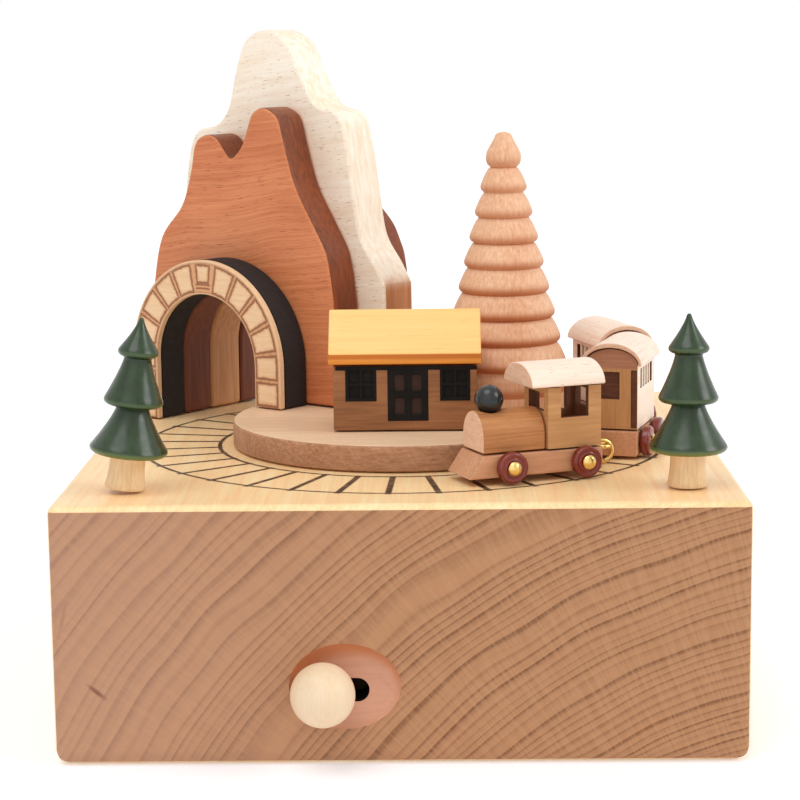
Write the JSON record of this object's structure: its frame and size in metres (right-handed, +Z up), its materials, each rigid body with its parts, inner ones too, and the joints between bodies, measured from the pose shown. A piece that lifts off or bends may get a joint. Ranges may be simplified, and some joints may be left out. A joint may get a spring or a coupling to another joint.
{
  "type": "music box",
  "caption": "Wooden music box with a magnet-drawn toy train that runs round a station and through a mountain tunnel on the lid.",
  "frame": {"origin": "middle of the footprint, knob included, on the surface that the box stands on", "axes": "+Z up, -Y towards the front face with the knob, +X to the right as seen from the front"},
  "size_m": [0.11, 0.1186, 0.1154],
  "materials": {
    "beech_box": "oiled beech, end grain stripes",
    "plywood": "raw plywood",
    "pale_beech": "oiled pale beech",
    "red_wood": "oiled red-brown wood",
    "beige_wood": "oiled beige beech",
    "facade_veneer": "veneer with burnt stone pattern",
    "black_arch": "matte black stain",
    "tan_wood": "tan stained wood with dark door and windows",
    "yellow_stain": "yellow stained wood",
    "green_paint": "glossy green paint on a natural trunk",
    "cream_knob": "satin pale wood",
    "train_wood": "raw beech",
    "train_ply": "thin plywood with burnt edges",
    "gloss_black": "gloss black paint",
    "wheel_red": "gloss dark red lacquer",
    "brass": "polished brass",
    "steel": "bright steel",
    "spring_steel": "blued spring steel",
    "cast_metal": "grey cast metal",
    "arm_plastic": "moulded plastic",
    "magnet": "plated magnet"
  },
  "bodies": {
    "root": {"base_block": "beech_box", "bottom_cover": "plywood", "cover_screw_1": "brass", "cover_screw_2": "brass", "cover_screw_3": "brass", "cover_screw_4": "brass", "platform_disc": "pale_beech", "station_house": "tan_wood", "house_roof": "yellow_stain", "turned_tree": "pale_beech", "green_tree_left": "green_paint", "green_tree_right": "green_paint", "tunnel_facade": "facade_veneer", "tunnel_arch": "black_arch", "mountain_front": "red_wood", "mountain_middle": "beige_wood", "mountain_rear": "red_wood", "movement_bedplate": "cast_metal", "movement_screw_1": "steel", "movement_screw_2": "steel", "comb": "steel", "comb_screw_1": "steel", "comb_screw_2": "steel"},
    "drive": {"spring_barrel": "brass", "mainspring": "spring_steel", "magnet_arm": "arm_plastic", "drive_magnet": "magnet"},
    "winding_key": {"winding_key": "steel"},
    "cylinder": {"pinned_cylinder": "brass"},
    "governor": {"governor_fly": "steel"},
    "stop_slider": {"knob_ball": "cream_knob", "stop_lever": "steel"},
    "loco": {"loco_chassis": "train_wood", "loco_boiler": "train_wood", "loco_chimney_ball": "gloss_black", "loco_cab": "train_ply", "loco_cab_roof": "train_wood", "train_magnet": "magnet", "loco_rear_eye": "brass"},
    "car_1": {"car_1_chassis": "train_wood", "car_1_body": "train_ply", "car_1_roof": "train_wood", "car_1_front_eye": "brass", "car_1_rear_eye": "brass"},
    "car_2": {"car_2_chassis": "train_wood", "car_2_body": "train_ply", "car_2_roof": "train_wood", "car_2_front_eye": "brass"},
    "loco_wheel_front_outer": {"loco_wheel_front_outer": "wheel_red"},
    "loco_wheel_front_inner": {"loco_wheel_front_inner": "wheel_red"},
    "loco_wheel_rear_outer": {"loco_wheel_rear_outer": "wheel_red"},
    "loco_wheel_rear_inner": {"loco_wheel_rear_inner": "wheel_red"},
    "car_1_wheel_front_outer": {"car_1_wheel_front_outer": "wheel_red"},
    "car_1_wheel_front_inner": {"car_1_wheel_front_inner": "wheel_red"},
    "car_1_wheel_rear_outer": {"car_1_wheel_rear_outer": "wheel_red"},
    "car_1_wheel_rear_inner": {"car_1_wheel_rear_inner": "wheel_red"},
    "car_2_wheel_front_outer": {"car_2_wheel_front_outer": "wheel_red"},
    "car_2_wheel_front_inner": {"car_2_wheel_front_inner": "wheel_red"},
    "car_2_wheel_rear_outer": {"car_2_wheel_rear_outer": "wheel_red"},
    "car_2_wheel_rear_inner": {"car_2_wheel_rear_inner": "wheel_red"}
  },
  "joints": [
    {"name": "drive_turn", "type": "hinge", "parent": "root", "child": "drive", "pos_m": [0, 0.00425, 0.03], "axis": [0, 0, 1], "continuous": true},
    {"name": "loco_run", "type": "hinge", "parent": "root", "child": "loco", "pos_m": [0, 0.00425, 0.042], "axis": [0, 0, 1], "continuous": true},
    {"name": "car_1_run", "type": "hinge", "parent": "root", "child": "car_1", "pos_m": [0, 0.00425, 0.042], "axis": [0, 0, 1], "continuous": true},
    {"name": "car_2_run", "type": "hinge", "parent": "root", "child": "car_2", "pos_m": [0, 0.00425, 0.042], "axis": [0, 0, 1], "continuous": true},
    {"name": "loco_wheel_front_outer_spin", "type": "hinge", "parent": "loco", "child": "loco_wheel_front_outer", "pos_m": [0.01779, -0.03606, 0.0449], "axis": [0.3907, -0.9205, 0], "continuous": true},
    {"name": "loco_wheel_front_inner_spin", "type": "hinge", "parent": "loco", "child": "loco_wheel_front_inner", "pos_m": [0.01396, -0.02704, 0.0449], "axis": [-0.3907, 0.9205, 0], "continuous": true},
    {"name": "loco_wheel_rear_outer_spin", "type": "hinge", "parent": "loco", "child": "loco_wheel_rear_outer", "pos_m": [0.03008, -0.03085, 0.0449], "axis": [0.3907, -0.9205, 0], "continuous": true},
    {"name": "loco_wheel_rear_inner_spin", "type": "hinge", "parent": "loco", "child": "loco_wheel_rear_inner", "pos_m": [0.02625, -0.02183, 0.0449], "axis": [-0.3907, 0.9205, 0], "continuous": true},
    {"name": "car_1_wheel_front_outer_spin", "type": "hinge", "parent": "car_1", "child": "car_1_wheel_front_outer", "pos_m": [0.04129, -0.01308, 0.0449], "axis": [0.9563, -0.2924, 0], "continuous": true},
    {"name": "car_1_wheel_front_inner_spin", "type": "hinge", "parent": "car_1", "child": "car_1_wheel_front_inner", "pos_m": [0.03192, -0.01021, 0.0449], "axis": [-0.9563, 0.2924, 0], "continuous": true},
    {"name": "car_1_wheel_rear_outer_spin", "type": "hinge", "parent": "car_1", "child": "car_1_wheel_rear_outer", "pos_m": [0.04392, -0.00447, 0.0449], "axis": [0.9563, -0.2924, 0], "continuous": true},
    {"name": "car_1_wheel_rear_inner_spin", "type": "hinge", "parent": "car_1", "child": "car_1_wheel_rear_inner", "pos_m": [0.03455, -0.00161, 0.0449], "axis": [-0.9563, 0.2924, 0], "continuous": true},
    {"name": "car_2_wheel_front_outer_spin", "type": "hinge", "parent": "car_2", "child": "car_2_wheel_front_outer", "pos_m": [0.04392, 0.01297, 0.0449], "axis": [0.9563, 0.2924, 0], "continuous": true},
    {"name": "car_2_wheel_front_inner_spin", "type": "hinge", "parent": "car_2", "child": "car_2_wheel_front_inner", "pos_m": [0.03455, 0.01011, 0.0449], "axis": [-0.9563, -0.2924, 0], "continuous": true},
    {"name": "car_2_wheel_rear_outer_spin", "type": "hinge", "parent": "car_2", "child": "car_2_wheel_rear_outer", "pos_m": [0.04129, 0.02158, 0.0449], "axis": [0.9563, 0.2924, 0], "continuous": true},
    {"name": "car_2_wheel_rear_inner_spin", "type": "hinge", "parent": "car_2", "child": "car_2_wheel_rear_inner", "pos_m": [0.03192, 0.01871, 0.0449], "axis": [-0.9563, -0.2924, 0], "continuous": true},
    {"name": "cylinder_turn", "type": "hinge", "parent": "root", "child": "cylinder", "pos_m": [0, -0.01935, 0.023], "axis": [0, 1, 0], "continuous": true},
    {"name": "governor_spin", "type": "hinge", "parent": "root", "child": "governor", "pos_m": [-0.0023, -0.03435, 0.022], "axis": [0, 0, 1], "continuous": true},
    {"name": "key_wind", "type": "hinge", "parent": "root", "child": "winding_key", "pos_m": [0, 0.00425, 0.01], "axis": [0, 0, -1], "range_deg": [0, 1350]},
    {"name": "stop_slide", "type": "slide", "parent": "root", "child": "stop_slider", "axis": [1, 0, 0], "range_m": [0, 0.005]}
  ],
  "couplings": [
    {"joint": "loco_run", "follows": "drive_turn", "ratio": 1},
    {"joint": "car_1_run", "follows": "drive_turn", "ratio": 1},
    {"joint": "car_2_run", "follows": "drive_turn", "ratio": 1},
    {"joint": "loco_wheel_front_outer_spin", "follows": "drive_turn", "ratio": -17.256},
    {"joint": "loco_wheel_front_inner_spin", "follows": "drive_turn", "ratio": 12.872},
    {"joint": "loco_wheel_rear_outer_spin", "follows": "drive_turn", "ratio": -18.073},
    {"joint": "loco_wheel_rear_inner_spin", "follows": "drive_turn", "ratio": 13.948},
    {"joint": "car_1_wheel_front_outer_spin", "follows": "drive_turn", "ratio": -17.528},
    {"joint": "car_1_wheel_front_inner_spin", "follows": "drive_turn", "ratio": 13.172},
    {"joint": "car_1_wheel_rear_outer_spin", "follows": "drive_turn", "ratio": -17.528},
    {"joint": "car_1_wheel_rear_inner_spin", "follows": "drive_turn", "ratio": 13.172},
    {"joint": "car_2_wheel_front_outer_spin", "follows": "drive_turn", "ratio": -17.528},
    {"joint": "car_2_wheel_front_inner_spin", "follows": "drive_turn", "ratio": 13.172},
    {"joint": "car_2_wheel_rear_outer_spin", "follows": "drive_turn", "ratio": -17.528},
    {"joint": "car_2_wheel_rear_inner_spin", "follows": "drive_turn", "ratio": 13.172},
    {"joint": "cylinder_turn", "follows": "drive_turn", "ratio": 2.7},
    {"joint": "governor_spin", "follows": "drive_turn", "ratio": 54}
  ]
}
